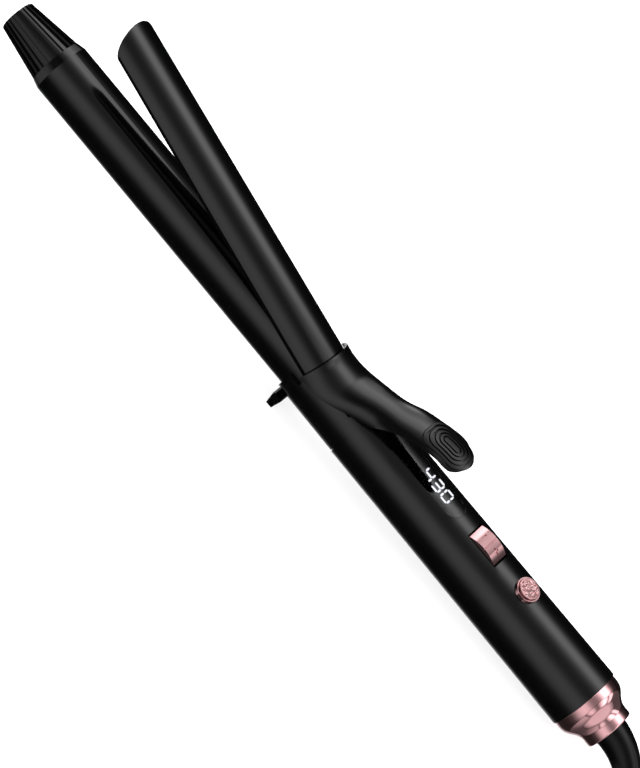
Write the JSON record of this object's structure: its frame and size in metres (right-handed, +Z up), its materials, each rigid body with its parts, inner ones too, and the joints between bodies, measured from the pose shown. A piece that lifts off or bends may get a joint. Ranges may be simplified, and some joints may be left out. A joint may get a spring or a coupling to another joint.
{
  "type": "curling iron",
  "caption": "Clamp curling iron with a heated round barrel, spring clamp and thumb lever, folding rest, digital display, rocker and power buttons, and a swivel mains lead.",
  "frame": {"origin": "centre of the stand leg's flat foot, on the table the iron rests on", "axes": "+X along the handle from the cool tip to the lead, +Z up from the table"},
  "size_m": [0.5952, 0.0554, 0.0824],
  "materials": {
    "barrel_coating": "satin black ceramic coating",
    "blade_coating": "satin black coating",
    "black_moulding": "satin black moulded plastic",
    "grip_plastic": "satin black moulded plastic",
    "pad_rubber": "black moulded pad",
    "mica": "mica board",
    "ceramic": "white alumina",
    "aluminium": "extruded",
    "glass_bead": "sealed sensor",
    "fuse_metal": "metal can",
    "lead_insulation": "woven glass sleeve",
    "steel": "plated",
    "spring_steel": "spring steel",
    "smoked_window": "polished smoked window",
    "module_black": "moulded",
    "lit_bars": "lit white",
    "dark_bars": "unlit",
    "rose_gold": "polished rose-gold plating",
    "glitter": "pink glitter under clear resin",
    "circuit_board": "green solder mask",
    "capacitor_sleeve": "shrink sleeve",
    "cord_rubber": "black flexible PVC",
    "tie": "black strap",
    "plug_metal": "nickel-plated brass"
  },
  "bodies": {
    "iron": {"barrel_tube": "barrel_coating", "cool_tip": "black_moulding", "tip_insulator": "mica", "heater_plate": "ceramic", "heat_spreader_upper": "aluminium", "heat_spreader_lower": "aluminium", "temperature_probe": "glass_bead", "thermal_fuse": "fuse_metal", "heater_leads": "lead_insulation", "front_housing": "black_moulding", "hinge_pin": "steel", "barrel_screw": "steel", "clamp_spring": "spring_steel", "stand_ring": "black_moulding", "stand_pin": "steel", "grip_shell": "grip_plastic", "grip_cover": "grip_plastic", "cover_screws": "steel", "display_lens": "smoked_window", "display_module": "module_black", "display_digits": "lit_bars", "display_dark_bars": "dark_bars", "rocker_pin": "steel", "rocker_frame": "module_black", "button_bezel": "rose_gold", "control_board": "circuit_board", "tact_switches": "module_black", "terminal_block": "module_black", "capacitor": "capacitor_sleeve", "power_triac": "module_black", "mains_wires": "lead_insulation", "end_cap": "rose_gold", "swivel_contacts": "module_black"},
    "clamp": {"clamp_blade": "blade_coating", "lever_shell": "black_moulding", "thumb_pad": "pad_rubber", "blade_rivets": "steel"},
    "stand": {"stand_leg": "black_moulding"},
    "rocker": {"rocker_cap": "rose_gold"},
    "button": {"power_button": "rose_gold", "button_insert": "glitter"},
    "lead": {"swivel_rotor": "module_black", "strain_relief": "cord_rubber", "cord_run": "cord_rubber", "cord_hank": "cord_rubber", "cord_tie": "tie", "cord_tail": "cord_rubber", "plug_body": "cord_rubber", "plug_blades": "plug_metal"}
  },
  "joints": [
    {"name": "clamp_hinge", "type": "hinge", "parent": "iron", "child": "clamp", "pos_m": [0.01741, 0, 0.0335], "axis": [0, 1, 0], "range_deg": [-13.3, 7], "stiffness_Nm_per_rad": 0.5, "springref_deg": -40.11, "deforming": ["clamp_spring"]},
    {"name": "stand_fold", "type": "hinge", "parent": "iron", "child": "stand", "pos_m": [0.00026, 0, 0.0063], "axis": [0, 1, 0], "range_deg": [0, 85]},
    {"name": "rocker_tilt", "type": "hinge", "parent": "iron", "child": "rocker", "pos_m": [0.10228, 0, 0.02856], "axis": [0, 1, 0], "range_deg": [-4, 4], "stiffness_Nm_per_rad": 0.2},
    {"name": "power_press", "type": "slide", "parent": "iron", "child": "button", "axis": [-0.0417, 0, -0.9991], "range_m": [0, 0.0006], "stiffness_N_per_m": 800, "springref_m": -0.0005},
    {"name": "cord_swivel", "type": "hinge", "parent": "iron", "child": "lead", "pos_m": [0.1926, 0, 0.01519], "axis": [0.9991, 0, -0.0417], "continuous": true}
  ]
}
